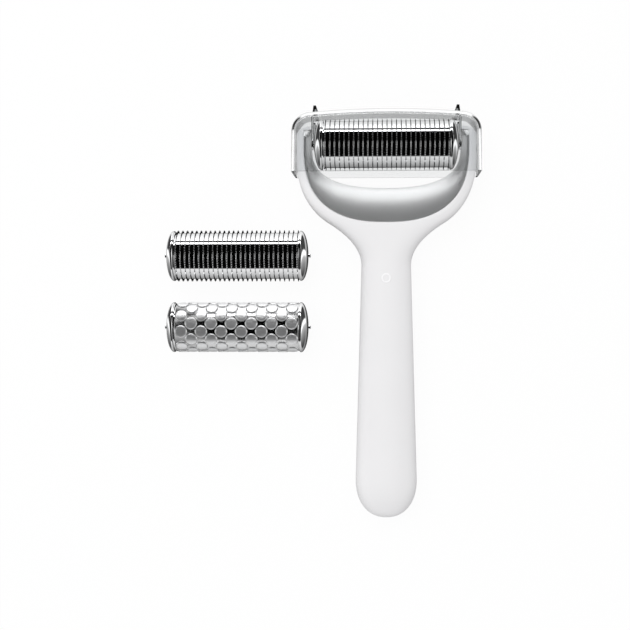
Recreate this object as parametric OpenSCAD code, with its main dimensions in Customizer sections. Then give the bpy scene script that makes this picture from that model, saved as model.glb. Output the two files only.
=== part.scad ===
// Derma roller: a forked handle with a turning needle head under a clear cap,
// shown with a spare needle head and a studded massage head that lie beside it.
// X runs along the roller axis, Y from the grip up to the head, Z up from the table.

/* [Handle] */
// Distance from the roller axis down to the lower end of the grip
handle_reach = 143.6; // [125:0.1:160]
// Distance from the bottom of the fork's outer curve down to the narrowest part of the neck
neck_below_fork = 11.4; // [9:0.1:16]
// Half width of the neck
neck_half_w = 9.5; // [8.5:0.1:11]
// Half depth of the neck
neck_half_t = 8.2; // [7:0.1:10]
// Half width of the grip where it is widest
grip_half_w = 11.8; // [10:0.1:14]
// Half depth of the grip where it is widest
grip_half_t = 9.9; // [8.5:0.1:11]
// Length of the round lower end
grip_end = 14.6; // [10:0.1:20]

/* [Fork] */
// Half width of the fork's opening, which every head fits into
gap_half_w = 28.3; // [24:0.05:32]
// Drop of the opening below the fork's centre
gap_drop = 14.7; // [12.5:0.1:17]
// Width of the metal liner on each arm
liner_w = 2.9; // [2.6:0.1:4]
// Width of the metal liner at the bottom of the opening
liner_low_w = 13.5; // [10:0.1:15]
// Width of the white arm outside the liner
arm_w = 3.3; // [2.6:0.1:4]
// Width of the white bridge below the liner
bridge_w = 4.8; // [4:0.1:7]
// Distance of the fork's centre below the roller axis
fork_centre_drop = 2; // [1:0.1:3]
// Half depth of the arms
arm_half_t = 7.4; // [6:0.1:8.5]
// Half depth of the fork's bridge
bridge_half_t = 9.2; // [8:0.1:10]
// Height of the arm tips above the roller axis
arm_rise = 6.7; // [5.8:0.1:9]
// Length of an arm's round tip
tip_l = 4.4; // [3.5:0.1:6]
// Distance from an arm's tip down to the end of the liner
liner_below_tip = 1.6; // [1.2:0.1:4]

/* [Needle head] */
// Number of needle discs
disc_count = 27; // [15:1:27]
// Thickness of a disc
disc_t = 0.3; // [0.2:0.05:0.35]
// Needles on one disc
needle_count = 60; // [36:2:72]
// Length of a needle
needle_l = 1.15; // [0.8:0.05:1.4]
// Width of a needle at its root
needle_base_w = 0.4; // [0.3:0.01:0.5]
// How far a disc stands out of the spacer rings
disc_out = 0.05; // [0.02:0.01:0.3]
// Radius of the spacer rings between the discs
spacer_r = 8.9; // [8:0.05:9.6]
// Width of a spacer ring, from its outside in to the core
spacer_w = 2.9; // [2:0.1:4]

/* [Massage head] */
// How far the drum lies inside the rim of a domed end
drum_in = 0.55; // [0.5:0.05:1.2]
// How far the studs stand out of the drum
stud_out = 0.5; // [0.4:0.01:1]
// Radius of one stud
stud_r = 2.4; // [2:0.05:2.45]
// Bevel at the edge of a stud
stud_bevel = 0.4; // [0.2:0.05:0.6]
// Studs in one row
studs_in_row = 6; // [4:1:6]
// Distance from the outermost studs to the drum's ends
stud_margin = 0.1; // [0.05:0.05:1]
// Rows of studs around the drum
stud_rows = 18; // [12:2:18]

/* [Head ends] */
// Gap between each domed end and the arm beside it
head_side_gap = 0.75; // [0.65:0.05:1]
// Depth of a domed end
dome_depth = 3.15; // [2.5:0.05:3.4]
// How far a domed end stands out of the spacer rings
dome_lip = 0.8; // [0.6:0.05:1]
// Radius of the pins that carry a head
pin_r = 0.7; // [0.5:0.05:1]
// Length of a pin outside the domed end
pin_out = 0.9; // [0.75:0.05:1.1]
// Radius of the shaft inside a head
shaft_r = 1.5; // [1.2:0.05:2.5]
// Thickness of the spacer between the last disc and its collar
end_spacer = 0.25; // [0.1:0.05:0.3]
// Thickness of the collar at the left end
left_collar_t = 0.9; // [0.8:0.05:1.1]
// Thickness of the collar at the right end
right_collar_t = 0.3; // [0.25:0.05:0.6]
// How far the collars lie inside the rim of a domed end
collar_in = 1.5; // [1.2:0.05:2]
// How far the half rings on the left collar lie inside the rim; they step past each other
half_ring_in = 0.35; // [0.3:0.05:0.6]
// Thickness of one half ring
half_ring_t = 0.4; // [0.3:0.02:0.4]
// Width of the notch in the right collar
notch_w = 1.1; // [0.6:0.1:2]

/* [Cap] */
// Gap between the fork and each side wall of the cap
cap_side_gap = 0.3; // [0.25:0.05:1]
// Gap between the needle tips and the inside of the cap's top
cap_top_gap = 1.5; // [1.4:0.05:3]
// How much wider each side is at the cap's open rim
cap_flare = 0.2; // [0:0.05:1]
// Depth of the cap, front to back
cap_depth = 28; // [27:0.1:32]
// Wall of the cap
cap_wall = 0.8; // [0.7:0.05:1.2]
// How much lower the top is at the shoulders
cap_arch = 1.2; // [0:0.1:1.4]
// Radius of the shoulders
shoulder_r = 7.2; // [5:0.1:7.5]
// Radius of the long edges at the top, front and back
top_edge_r = 4; // [2:0.1:5]
// Radius of the upright edges, front and back
side_edge_r = 1.8; // [1.5:0.1:3]
// Distance of the open rim below the roller axis
rim_drop = 11.4; // [9:0.1:13]
// Distance of each foot on the cap's top inside the arm's inner face
foot_in = 1.2; // [0.5:0.1:4]
// Height of a foot
foot_h = 2.9; // [1:0.1:4]
// Width of a foot at its root
foot_w = 1.9; // [1:0.1:3]
// Length of a foot, front to back
foot_l = 15; // [8:0.5:18]
// Thickness of a rib inside the cap
rib_t = 0.6; // [0.5:0.05:0.8]
// Gap between a rib and the arm beside it
rib_gap = 0.3; // [0.2:0.05:0.5]
// Distance of each rib in front of the roller axis or behind it
rib_clear = 5.8; // [5:0.1:7]
// Depth of the groove outside each snap ridge
groove_in = 0.25; // [0.15:0.05:0.4]
// Length of that groove
groove_l = 10; // [6:0.5:14]

/* [Fork sockets and neck plug] */
// Radius of the bush that holds a pin
bush_r = 2.2; // [1.8:0.05:3]
// Distance that a bush stands out of the liner
bush_out = 0.5; // [0.4:0.01:0.55]
// How far a bush reaches into the white arm
bush_in_arm = 1.1; // [0.6:0.05:1.8]
// Distance from the narrowest part of the neck down to the neck plug
plug_below_neck = 5; // [3:0.1:12]
// Radius of the neck plug
plug_r = 1.8; // [1.4:0.05:2.4]
// Radius of the neck screw's thread
screw_r = 0.9; // [0.6:0.05:1.2]

/* [Spares beside the handle] */
// How far the spare heads reach past the fork's left side towards the neck
spare_tuck = 4.35; // [0:0.05:6]
// Distance of the spare needle head below the fork's outer curve
spare_below_fork = 7.5; // [5:0.1:12]
// Distance from the spare needle head down to the massage head
spares_apart = 27.7; // [24:0.1:50]

/* [Fits] */
// Gap between pieces that are pressed or clipped together
seat_gap = 0.02; // [0.01:0.01:0.05]
// Running gap around a pin in its bush
run_gap = 0.05; // [0.02:0.01:0.09]

/* [Hidden] */
$fn = 48;

// Colours
shell_white = [0.93, 0.93, 0.94];
satin_chrome = [0.72, 0.74, 0.75];
bright_steel = [0.82, 0.83, 0.85];
core_grey = [0.25, 0.25, 0.27];
clear_plastic = [0.9, 0.95, 1, 0.35];

// The fork and its neck, from the opening outwards
seam_half_w = gap_half_w + liner_w;
fork_half_w = seam_half_w + arm_w;
seam_drop = gap_drop + liner_low_w;
fork_drop = seam_drop + bridge_w;
liner_rise = arm_rise - liner_below_tip;
neck_drop = fork_centre_drop + fork_drop + neck_below_fork;
plug_drop = neck_drop + plug_below_neck;

// Radii of the heads
core_r = spacer_r - spacer_w;
needle_root_r = spacer_r + disc_out;
needle_tip_r = needle_root_r + needle_l;
dome_r = spacer_r + dome_lip;
half_ring_r = dome_r - half_ring_in;
collar_r = dome_r - collar_in;
drum_r = dome_r - drum_in;
stud_tip_r = drum_r + stud_out;

// Places along a head, counted from its middle: the stack stands nearer to the right dome
head_half_l = gap_half_w - head_side_gap;
dome_in = head_half_l - dome_depth;
stack_l = 2 * dome_in - left_collar_t - right_collar_t;
stack_from = -dome_in + left_collar_t;
stack_to = stack_from + stack_l;
stack_mid = (stack_from + stack_to) / 2;
disc_pitch = (stack_l - disc_t - 2 * end_spacer) / (disc_count - 1);
first_disc = stack_from + end_spacer + disc_t / 2;
stud_pitch = (stack_l / 2 - stud_r - stud_margin) / ((studs_in_row - 1) / 2 + 1 / 4);

// The cap around the fork
cap_half_w = fork_half_w + cap_side_gap + cap_wall;
cap_rise = needle_tip_r + cap_top_gap + cap_wall;
foot_x = gap_half_w - foot_in;
rib_x = gap_half_w - rib_gap - rib_t;

// Heights above the table, and the places of the spare heads
axis_z = cap_depth / 2;
spare_z = needle_tip_r;
massage_z = max(stud_tip_r, dome_r);
spare_left = fork_half_w + head_half_l - spare_tuck;
spare_drop = fork_centre_drop + fork_drop + spare_below_fork;
massage_drop = spare_drop + spares_apart;

// Shape exponents: 2 is an ellipse, larger is squarer
fork_curve = 2.5;
end_curve = 2.2;
grip_section = 2.3;
fork_section = 5;
tip_curve = 2.4;
liner_section = 2.2;

// Places along the handle
fork_y = -fork_centre_drop;
neck_y = -neck_drop;
grip_y = -handle_reach + grip_end;
flare_y = fork_y - 0.84 * fork_drop;
tip_y = arm_rise - tip_l;
bend_y = fork_y - 0.7 * fork_drop;
flare_slope = 1.65;
tip_blunt = 0.25;

// Numbers of steps in the curved skins
end_steps = 8;
grip_steps = 7;
flare_steps = 8;
fork_steps = 14;
tip_steps = 6;
section_steps = 20;
liner_steps = 40;
liner_section_steps = 12;
shoulder_steps = 8;
dome_steps = 10;

function mix(a, b, t) = a + (b - a) * t;
function smooth(t) = let (u = max(0, min(1, t))) u * u * (3 - 2 * u);
function power(v, e) = sign(v) * pow(abs(v), e);
function round_drop(t, e) = pow(max(0, 1 - pow(min(1, t), e)), 1 / e);

// Half width of a fork curve at height y: straight above the fork's centre, round below it
function fork_x(y, half_w, drop) =
  y >= fork_y ? half_w : half_w * round_drop((fork_y - y) / drop, fork_curve);

// The concave flare from the fork into the neck, a cubic with its two end slopes
function flare_x(y) =
  let (span = flare_y - neck_y, t = (flare_y - y) / span,
       start = fork_x(flare_y, fork_half_w, fork_drop))
  (2 * pow(t, 3) - 3 * t * t + 1) * start
  - (pow(t, 3) - 2 * t * t + t) * flare_slope * span
  + (3 * t * t - 2 * pow(t, 3)) * neck_half_w;

// How far a section has closed at the round lower end, 1 above it
function end_factor(y) = y > grip_y ? 1 : round_drop((grip_y - y) / grip_end, end_curve);
// How far an arm has closed at its round tip, 1 below it
function tip_factor(y) = y < tip_y ? 1 : round_drop((y - tip_y) / tip_l, tip_curve);

function grip_share(y) = max(0, min(1, (neck_y - y) / (neck_y - grip_y)));
function half_w(y) =
  y <= neck_y ? mix(neck_half_w, grip_half_w, grip_share(y)) * end_factor(y)
  : y <= flare_y ? flare_x(y)
  : y <= tip_y ? fork_x(y, fork_half_w, fork_drop)
  : mix(gap_half_w + tip_blunt, fork_half_w, tip_factor(y));
function half_t(y) =
  y <= neck_y ? mix(neck_half_t, grip_half_t, grip_share(y)) * end_factor(y)
  : y <= bend_y ? mix(neck_half_t, bridge_half_t, smooth((y - neck_y) / (bend_y - neck_y)))
  : mix(bridge_half_t, arm_half_t, smooth((y - bend_y) / (fork_y - bend_y)))
    * mix(0.35, 1, tip_factor(y));
function section_power(y) =
  mix(grip_section, fork_section, smooth((y - neck_y) / (bend_y - neck_y)));
// The handle leans back from the axis height until its grip touches the table
function centre_z(y) = mix(axis_z, grip_half_t, smooth((bend_y - y) / (bend_y - grip_y)));
// Height of the handle's skin above its parting plane at a point of the plan
function skin_h(x, y) = half_t(y) * round_drop(abs(x) / half_w(y), section_power(y));

// The stations along the handle, closer together where it curves
handle_ys = concat(
  [for (i = [0:end_steps - 1]) grip_y - grip_end * cos(88 * i / end_steps + 2)],
  [for (i = [0:grip_steps - 1]) mix(grip_y, neck_y, i / grip_steps)],
  [for (i = [0:flare_steps - 1]) mix(neck_y, flare_y, i / flare_steps)],
  [for (i = [0:fork_steps - 1]) mix(flare_y, tip_y, i / fork_steps)],
  [for (i = [0:tip_steps]) tip_y + (arm_rise - tip_y) * sin(88 * i / tip_steps)]
);

// One half of the handle's section at height y: side 1 is the front half, -1 the back half
function half_section(y, side) = [
  for (i = [0:section_steps])
    let (a = 180 * i / section_steps, e = 2 / section_power(y))
    [half_w(y) * power(cos(a), e), y, centre_z(y) + side * half_t(y) * power(sin(a), e)]
];

// A closed skin over rings of equal length, with flat ends
module skin(rings) {
  n = len(rings[0]);
  last = len(rings) - 1;
  sides = [
    for (r = [0:last - 1], i = [0:n - 1])
      let (a = r * n + i, b = r * n + (i + 1) % n)
      each [[a, b, a + n], [b, b + n, a + n]]
  ];
  first_cap = [for (i = [1:n - 2]) [0, i + 1, i]];
  last_cap = [for (i = [1:n - 2]) [last * n, last * n + i, last * n + i + 1]];
  polyhedron(points = [for (r = rings) each r], faces = concat(sides, first_cap, last_cap));
}

// Points of a fork curve from the right arm down and up to the left arm
function fork_curve_points(half_w, drop, steps) = [
  for (i = [0:steps])
    let (a = 180 * i / steps, e = 2 / fork_curve)
    [half_w * power(cos(a), e), fork_y - drop * power(sin(a), e)]
];

// The space that the fork leaves for the liner and the head
module fork_opening() {
  above = arm_rise + 1;
  seam = fork_curve_points(seam_half_w + seat_gap, seam_drop + seat_gap, liner_steps);
  linear_extrude(cap_depth)
    polygon(concat(
      [[gap_half_w, above], [gap_half_w, liner_rise + seat_gap],
       [seam_half_w + seat_gap, liner_rise + seat_gap]],
      seam,
      [[-seam_half_w - seat_gap, liner_rise + seat_gap], [-gap_half_w, liner_rise + seat_gap],
       [-gap_half_w, above]]
    ));
}

bush_face_x = gap_half_w - bush_out;
bush_end_x = seam_half_w + bush_in_arm;

// Round hole along X for one bush, at side -1 or 1
module bush_hole(side) {
  translate([side * (bush_face_x - 1), 0, axis_z]) rotate([0, side * 90, 0])
    cylinder(r = bush_r + seat_gap, h = bush_end_x + seat_gap - bush_face_x + 1);
}

// Shallow hollows in the arms' outer sides, opposite the cap's detent bumps
detent_y = -2.3;
detent_r = 1.6;
detent_in = 0.45;
detent_gap = 0.15;
module arm_hollows() {
  for (side = [-1, 1])
    translate([side * (fork_half_w + detent_r - detent_in), detent_y, axis_z])
      sphere(r = detent_r);
}

plug_top_z = centre_z(-plug_drop) + half_t(-plug_drop) + 0.15;
plug_t = 1.2;
screw_head_r = plug_r - 0.3;
screw_head_t = 1;
screw_end_z = centre_z(-plug_drop) - half_t(-plug_drop) + 2.2;

// The stepped hole down from the front for the plug and its screw
module plug_hole() {
  translate([0, -plug_drop, screw_end_z - 0.4])
    cylinder(r = screw_r + seat_gap, h = plug_top_z - screw_end_z);
  translate([0, -plug_drop, plug_top_z - plug_t - screw_head_t - 2 * seat_gap])
    cylinder(r = screw_head_r + seat_gap, h = screw_head_t + plug_t);
  translate([0, -plug_drop, plug_top_z - plug_t - seat_gap])
    cylinder(r = plug_r + seat_gap, h = plug_t + 1);
}

module handle_half(side) {
  difference() {
    skin([for (y = handle_ys) half_section(y, side)]);
    fork_opening();
    bush_hole(-1);
    bush_hole(1);
    arm_hollows();
    plug_hole();
  }
}

module handle_front_shell() {
  color(shell_white) handle_half(1);
}

module handle_back_shell() {
  color(shell_white) handle_half(-1);
}

// One station of the liner: a half round from the front seam over the opening's edge to the back
function liner_ring(outer, inner) =
  let (h = skin_h(min(abs(outer[0]), half_w(outer[1]) - 0.4), outer[1]) - 0.2,
       e = 2 / liner_section)
  [
    for (i = [0:liner_section_steps])
      let (a = 180 * i / liner_section_steps,
           p = outer + (inner - outer) * power(sin(a), e))
      [p[0], p[1], centre_z(outer[1]) + h * power(cos(a), e)]
  ];

module fork_liner() {
  outer = fork_curve_points(seam_half_w, seam_drop, liner_steps);
  inner = fork_curve_points(gap_half_w, gap_drop, liner_steps);
  arm_top = liner_rise - fork_y;
  rings = concat(
    [liner_ring(outer[0] + [0, arm_top], inner[0] + [0, arm_top])],
    [for (i = [0:liner_steps]) liner_ring(outer[i], inner[i])],
    [liner_ring(outer[liner_steps] + [0, arm_top], inner[liner_steps] + [0, arm_top])]
  );
  color(satin_chrome) difference() {
    skin(rings);
    bush_hole(-1);
    bush_hole(1);
  }
}

// A pin bush in the arm, at side -1 or 1
module pin_bush(side) {
  bore_depth = pin_out + head_half_l - bush_face_x + 0.35;
  color(bright_steel)
    translate([side * bush_face_x, 0, axis_z]) rotate([0, side * 90, 0])
      difference() {
        cylinder(r = bush_r, h = bush_end_x - bush_face_x);
        translate([0, 0, -1]) cylinder(r = pin_r + run_gap, h = bore_depth + 1);
      }
}

module left_pin_bush() { pin_bush(-1); }
module right_pin_bush() { pin_bush(1); }

module neck_plug() {
  rim_in = plug_r - 0.5;
  color(shell_white)
    translate([0, -plug_drop, plug_top_z - plug_t]) difference() {
      cylinder(r = plug_r, h = plug_t);
      translate([0, 0, plug_t - 0.3]) cylinder(r1 = rim_in - 0.15, r2 = rim_in, h = 0.31);
    }
}

module neck_screw() {
  head_z = plug_top_z - plug_t - screw_head_t - seat_gap;
  slot_w = 0.5;
  color(bright_steel) difference() {
    union() {
      translate([0, -plug_drop, head_z]) cylinder(r = screw_head_r, h = screw_head_t);
      translate([0, -plug_drop, screw_end_z]) cylinder(r = screw_r, h = head_z - screw_end_z + 0.2);
    }
    for (turn = [0, 90])
      translate([0, -plug_drop, head_z + screw_head_t]) rotate([0, 0, turn])
        cube([2 * screw_head_r - 0.8, slot_w, screw_head_t], center = true);
  }
}

// Everything of a head is drawn along Z and then laid along X at its place
module lay_head(x, y, z) {
  translate([x, y, z]) rotate([0, 90, 0]) children();
}
module at_fork() { lay_head(0, 0, axis_z) children(); }
module at_spare() { lay_head(-spare_left, -spare_drop, spare_z) children(); }
module at_massage() { lay_head(-spare_left, -massage_drop, massage_z) children(); }

pin_neck_r = pin_r + 0.3;

// The shaft steps down to a neck inside each dome and to the pin outside it
module head_shaft() {
  pin_half = head_half_l + pin_out;
  pin_nose = 0.1;
  color(bright_steel) {
    cylinder(r = shaft_r, h = 2 * dome_in - 2 * seat_gap, center = true);
    cylinder(r = pin_neck_r, h = 2 * head_half_l, center = true);
    cylinder(r = pin_r, h = 2 * (pin_half - pin_nose), center = true);
    for (side = [0, 1]) mirror([0, 0, side])
      translate([0, 0, pin_half - pin_nose])
        cylinder(r1 = pin_r, r2 = pin_r - pin_nose, h = pin_nose);
  }
}

module head_core() {
  color(core_grey) translate([0, 0, stack_from]) difference() {
    cylinder(r = core_r, h = stack_l);
    translate([0, 0, -1]) cylinder(r = shaft_r + seat_gap, h = stack_l + 2);
  }
}

// Outline of one needle disc: a narrow spike on every pitch angle, a flat root between two
module disc_outline(turn) {
  half_base = asin(needle_base_w / 2 / needle_root_r);
  polygon([
    for (i = [0:needle_count - 1])
      let (a = 360 * (i + turn) / needle_count)
      each [
        needle_root_r * [cos(a - half_base), sin(a - half_base)],
        needle_tip_r * [cos(a), sin(a)],
        needle_root_r * [cos(a + half_base), sin(a + half_base)]
      ]
  ]);
}

module disc_stack() {
  color(bright_steel)
    for (i = [0:disc_count - 1])
      translate([0, 0, first_disc + i * disc_pitch - disc_t / 2])
        linear_extrude(disc_t) difference() {
          disc_outline(i % 2 / 2);
          circle(r = core_r + seat_gap);
        }
}

// A spacer ring of height h that starts at height z
module spacer_ring(z, h) {
  translate([0, 0, z]) difference() {
    cylinder(r = spacer_r, h = h);
    translate([0, 0, -1]) cylinder(r = core_r + seat_gap, h = h + 2);
  }
}

module spacer_stack() {
  between = disc_pitch - disc_t;
  color(bright_steel) {
    for (i = [0:disc_count - 2])
      spacer_ring(first_disc + i * disc_pitch + disc_t / 2, between);
    spacer_ring(stack_from, end_spacer);
    spacer_ring(stack_to - end_spacer, end_spacer);
  }
}

// The collar at the left end carries two half rings that step past each other
module left_collar() {
  color(bright_steel) translate([0, 0, -dome_in]) difference() {
    union() {
      cylinder(r = collar_r, h = left_collar_t);
      rotate_extrude(angle = 180) square([half_ring_r, half_ring_t]);
      translate([0, 0, left_collar_t - half_ring_t])
        rotate_extrude(angle = 180, start = 180) square([half_ring_r, half_ring_t]);
    }
    translate([0, 0, -1]) cylinder(r = shaft_r + seat_gap, h = left_collar_t + 2);
  }
}

// The collar at the right end is a plain ring with one notch in its edge
module right_collar() {
  color(bright_steel) translate([0, 0, stack_to]) difference() {
    cylinder(r = half_ring_r, h = right_collar_t);
    translate([0, 0, -1]) cylinder(r = shaft_r + seat_gap, h = right_collar_t + 2);
    translate([-half_ring_r, 0, 0]) cube([1.6, notch_w, 4 * right_collar_t], center = true);
  }
}

// A domed end: a flat rim, then half an ellipse up to the pin
module end_dome(side) {
  rim_t = 0.35;
  rise = dome_depth - rim_t;
  color(bright_steel) mirror([0, 0, side < 0 ? 1 : 0])
    translate([0, 0, dome_in]) difference() {
      rotate_extrude() polygon(concat(
        [[0, 0], [dome_r, 0]],
        [for (i = [0:dome_steps])
          let (a = 90 * i / dome_steps)
          [dome_r * cos(a), rim_t + rise * sin(a)]]
      ));
      translate([0, 0, -1]) cylinder(r = pin_neck_r + seat_gap, h = dome_depth + 2);
    }
}

// One stud, drawn outwards along Z from inside the drum, with a bevelled edge.
// Its flat top is low enough for its edge to stay inside the radius over the studs.
stud_root = drum_r - 0.9;
stud_top = sqrt(pow(stud_tip_r, 2) - pow(stud_r - stud_bevel, 2));
module stud() {
  bevel_h = stud_bevel / 2;
  cylinder(r = stud_r, h = stud_top - bevel_h - stud_root);
  translate([0, 0, stud_top - bevel_h - stud_root])
    cylinder(r1 = stud_r, r2 = stud_r - stud_bevel, h = bevel_h);
}

module massage_body() {
  color(bright_steel) difference() {
    union() {
      translate([0, 0, stack_from]) cylinder(r = drum_r, h = stack_l);
      for (row = [0:stud_rows - 1], i = [0:studs_in_row - 1]) {
        shift = (row % 2 == 0 ? 1 : -1) * stud_pitch / 4;
        along = stack_mid + (i - (studs_in_row - 1) / 2) * stud_pitch + shift;
        rotate([0, 0, 360 * (row + 0.5) / stud_rows]) translate([stud_root, 0, along])
          rotate([0, 90, 0]) stud();
      }
    }
    cylinder(r = shaft_r + seat_gap, h = 2 * dome_in, center = true);
  }
}

module roller_shaft() { at_fork() head_shaft(); }
module roller_core() { at_fork() head_core(); }
module roller_discs() { at_fork() disc_stack(); }
module roller_spacers() { at_fork() spacer_stack(); }
module roller_left_collar() { at_fork() left_collar(); }
module roller_right_collar() { at_fork() right_collar(); }
module roller_left_dome() { at_fork() end_dome(-1); }
module roller_right_dome() { at_fork() end_dome(1); }

module spare_shaft() { at_spare() head_shaft(); }
module spare_core() { at_spare() head_core(); }
module spare_discs() { at_spare() disc_stack(); }
module spare_spacers() { at_spare() spacer_stack(); }
module spare_left_collar() { at_spare() left_collar(); }
module spare_right_collar() { at_spare() right_collar(); }
module spare_left_dome() { at_spare() end_dome(-1); }
module spare_right_dome() { at_spare() end_dome(1); }

module massage_shaft() { at_massage() head_shaft(); }
module massage_drum() { at_massage() massage_body(); }
module massage_left_collar() { at_massage() left_collar(); }
module massage_right_collar() { at_massage() right_collar(); }
module massage_left_dome() { at_massage() end_dome(-1); }
module massage_right_dome() { at_massage() end_dome(1); }

// Front outline of the cap, set in by a wall thickness
module cap_front(inset) {
  w = cap_half_w - inset;
  top = cap_rise - inset;
  r = shoulder_r - inset;
  shoulder_y = top - cap_arch - r;
  top_steps = 6;
  right = concat(
    [[w + cap_flare, -rim_drop - (inset > 0 ? 1 : 0)]],
    [for (i = [0:shoulder_steps])
      let (a = 90 * i / shoulder_steps) [w - r + r * cos(a), shoulder_y + r * sin(a)]],
    [for (i = [1:top_steps])
      let (t = i / top_steps) [(w - r) * (1 - t), top - cap_arch * pow(1 - t, 2)]]
  );
  left = [for (i = [len(right) - 2:-1:0]) [-right[i][0], right[i][1]]];
  polygon(concat(right, left));
}

// Side outline of the cap, set in by a wall thickness: x is height above the table, y is Y
module cap_side(inset) {
  low = -rim_drop - (inset > 0 ? 2 : 1);
  top = cap_rise + 1 - inset;
  r = top_edge_r - inset / 2;
  near = inset;
  far = cap_depth - inset;
  crown = top - 1;
  polygon(concat(
    [[near, low], [far, low]],
    [for (i = [0:shoulder_steps])
      let (a = 90 * i / shoulder_steps) [far - r + r * cos(a), crown - r + r * sin(a)]],
    [for (i = [0:shoulder_steps])
      let (a = 90 + 90 * i / shoulder_steps) [near + r + r * cos(a), crown - r + r * sin(a)]]
  ));
}

// Outline of the cap seen along Y, with its upright edges rounded: x is X, y is height
module cap_plan(inset) {
  w = cap_half_w + cap_flare - inset;
  r = side_edge_r - inset;
  low = inset;
  high = cap_depth - inset;
  edge_steps = 4;
  right = concat(
    [for (i = [0:edge_steps])
      let (a = -90 + 90 * i / edge_steps) [w - r + r * cos(a), low + r + r * sin(a)]],
    [for (i = [0:edge_steps])
      let (a = 90 * i / edge_steps) [w - r + r * cos(a), high - r + r * sin(a)]]
  );
  polygon(concat(right, [for (i = [len(right) - 1:-1:0]) [-right[i][0], right[i][1]]]));
}

module cap_block(inset) {
  intersection() {
    linear_extrude(cap_depth) cap_front(inset);
    rotate([0, -90, 0]) linear_extrude(2 * cap_half_w + 4, center = true) cap_side(inset);
    translate([0, cap_rise + 1, 0]) rotate([90, 0, 0])
      linear_extrude(cap_rise + rim_drop + 4) cap_plan(inset);
  }
}

// Two thin ribs per side keep the roller off the cap, in front of its pin and behind it
rib_low_y = -0.8;
module cap_ribs(side) {
  z_edges = [[cap_wall - 0.05, axis_z - rib_clear], [axis_z + rib_clear, cap_depth - cap_wall + 0.05]];
  for (z = z_edges)
    translate([side > 0 ? rib_x : -rib_x - rib_t, rib_low_y, z[0]])
      cube([rib_t, cap_rise - cap_arch - top_edge_r / 2 - rib_low_y, z[1] - z[0]]);
}

module cap_foot(side) {
  root_y = cap_rise - cap_arch - 0.9;
  tip_w = foot_w / 2;
  translate([side * foot_x, root_y, axis_z - foot_l / 2]) linear_extrude(foot_l)
    polygon([[-foot_w / 2, 0], [foot_w / 2, 0], [tip_w / 2, foot_h + 0.9], [-tip_w / 2, foot_h + 0.9]]);
}

// Half width of the cap outside at height y, where its straight side flares to the rim
shoulder_low_y = cap_rise - cap_arch - shoulder_r;
function cap_side_x(y) = cap_half_w + cap_flare * (shoulder_low_y - y) / (shoulder_low_y + rim_drop);
groove_r = 0.8;

// The snap ridge inside one side wall, opposite the hollow in the arm
module cap_ridge(side) {
  tip_x = fork_half_w + detent_gap;
  ridge_l = 4;
  tip_h = 0.5;
  foot_y = 1.3;
  translate([0, detent_y, axis_z - ridge_l / 2]) mirror([side < 0 ? 1 : 0, 0, 0])
    linear_extrude(ridge_l) polygon([
      [cap_half_w - 0.3, -foot_y], [tip_x, -tip_h / 2], [tip_x, tip_h / 2], [cap_half_w - 0.3, foot_y]
    ]);
}

module clear_cap() {
  color(clear_plastic) difference() {
    union() {
      difference() {
        cap_block(0);
        cap_block(cap_wall);
      }
      for (side = [-1, 1]) {
        cap_ribs(side);
        cap_foot(side);
        cap_ridge(side);
      }
    }
    for (side = [-1, 1])
      translate([side * (cap_side_x(detent_y) + groove_r - groove_in), detent_y, axis_z])
        cylinder(r = groove_r, h = groove_l, center = true);
  }
}

handle_front_shell();
handle_back_shell();
fork_liner();
left_pin_bush();
right_pin_bush();
neck_plug();
neck_screw();
roller_shaft();
roller_core();
roller_discs();
roller_spacers();
roller_left_collar();
roller_right_collar();
roller_left_dome();
roller_right_dome();
spare_shaft();
spare_core();
spare_discs();
spare_spacers();
spare_left_collar();
spare_right_collar();
spare_left_dome();
spare_right_dome();
massage_shaft();
massage_drum();
massage_left_collar();
massage_right_collar();
massage_left_dome();
massage_right_dome();
clear_cap();
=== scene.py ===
"""Dresses the derma roller set: handle, clear cap, needle heads and massage head.

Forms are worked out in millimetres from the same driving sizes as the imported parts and
written to the meshes in metres, in the row's frame.
"""
import logging
import math
from dataclasses import dataclass, field
from enum import Enum

import bmesh
import bpy
from mathutils import Matrix, Vector


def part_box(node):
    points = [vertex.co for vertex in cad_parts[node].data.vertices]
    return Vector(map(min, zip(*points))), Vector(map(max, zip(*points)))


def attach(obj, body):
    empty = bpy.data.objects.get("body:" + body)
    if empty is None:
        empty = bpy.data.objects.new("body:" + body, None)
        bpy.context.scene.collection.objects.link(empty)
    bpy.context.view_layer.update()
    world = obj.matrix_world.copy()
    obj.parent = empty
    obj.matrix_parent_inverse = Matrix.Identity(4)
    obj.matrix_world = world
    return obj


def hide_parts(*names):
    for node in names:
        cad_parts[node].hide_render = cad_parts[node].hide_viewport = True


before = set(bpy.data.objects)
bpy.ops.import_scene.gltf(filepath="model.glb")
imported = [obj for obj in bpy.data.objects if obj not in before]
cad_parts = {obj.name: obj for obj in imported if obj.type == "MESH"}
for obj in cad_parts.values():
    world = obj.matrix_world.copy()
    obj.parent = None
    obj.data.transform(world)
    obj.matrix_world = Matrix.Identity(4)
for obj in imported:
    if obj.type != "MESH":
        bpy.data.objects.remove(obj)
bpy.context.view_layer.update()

LOG = logging.getLogger("derma_roller")
MM = 0.001
TINY = 1e-6
Point = tuple[float, float, float]
Plan = tuple[float, float]
Value = bpy.types.NodeSocket | float | tuple[float, ...]


class Axis(Enum):
    """The direction that a turned piece is drawn along."""

    X = "x"
    Z = "z"


class Side(Enum):
    """Front or back half of the handle."""

    FRONT = 1
    BACK = -1


# ---------------------------------------------------------------- small sums


def mix(a: float, b: float, t: float) -> float:
    """The value that lies t of the way from a to b."""
    return a + (b - a) * t


def smooth(t: float) -> float:
    """A soft step from 0 to 1 with level ends."""
    u = max(0.0, min(1.0, t))
    return u * u * (3 - 2 * u)


def power(value: float, exponent: float) -> float:
    """A power that keeps the sign of its value."""
    return math.copysign(abs(value) ** exponent, value)


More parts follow.
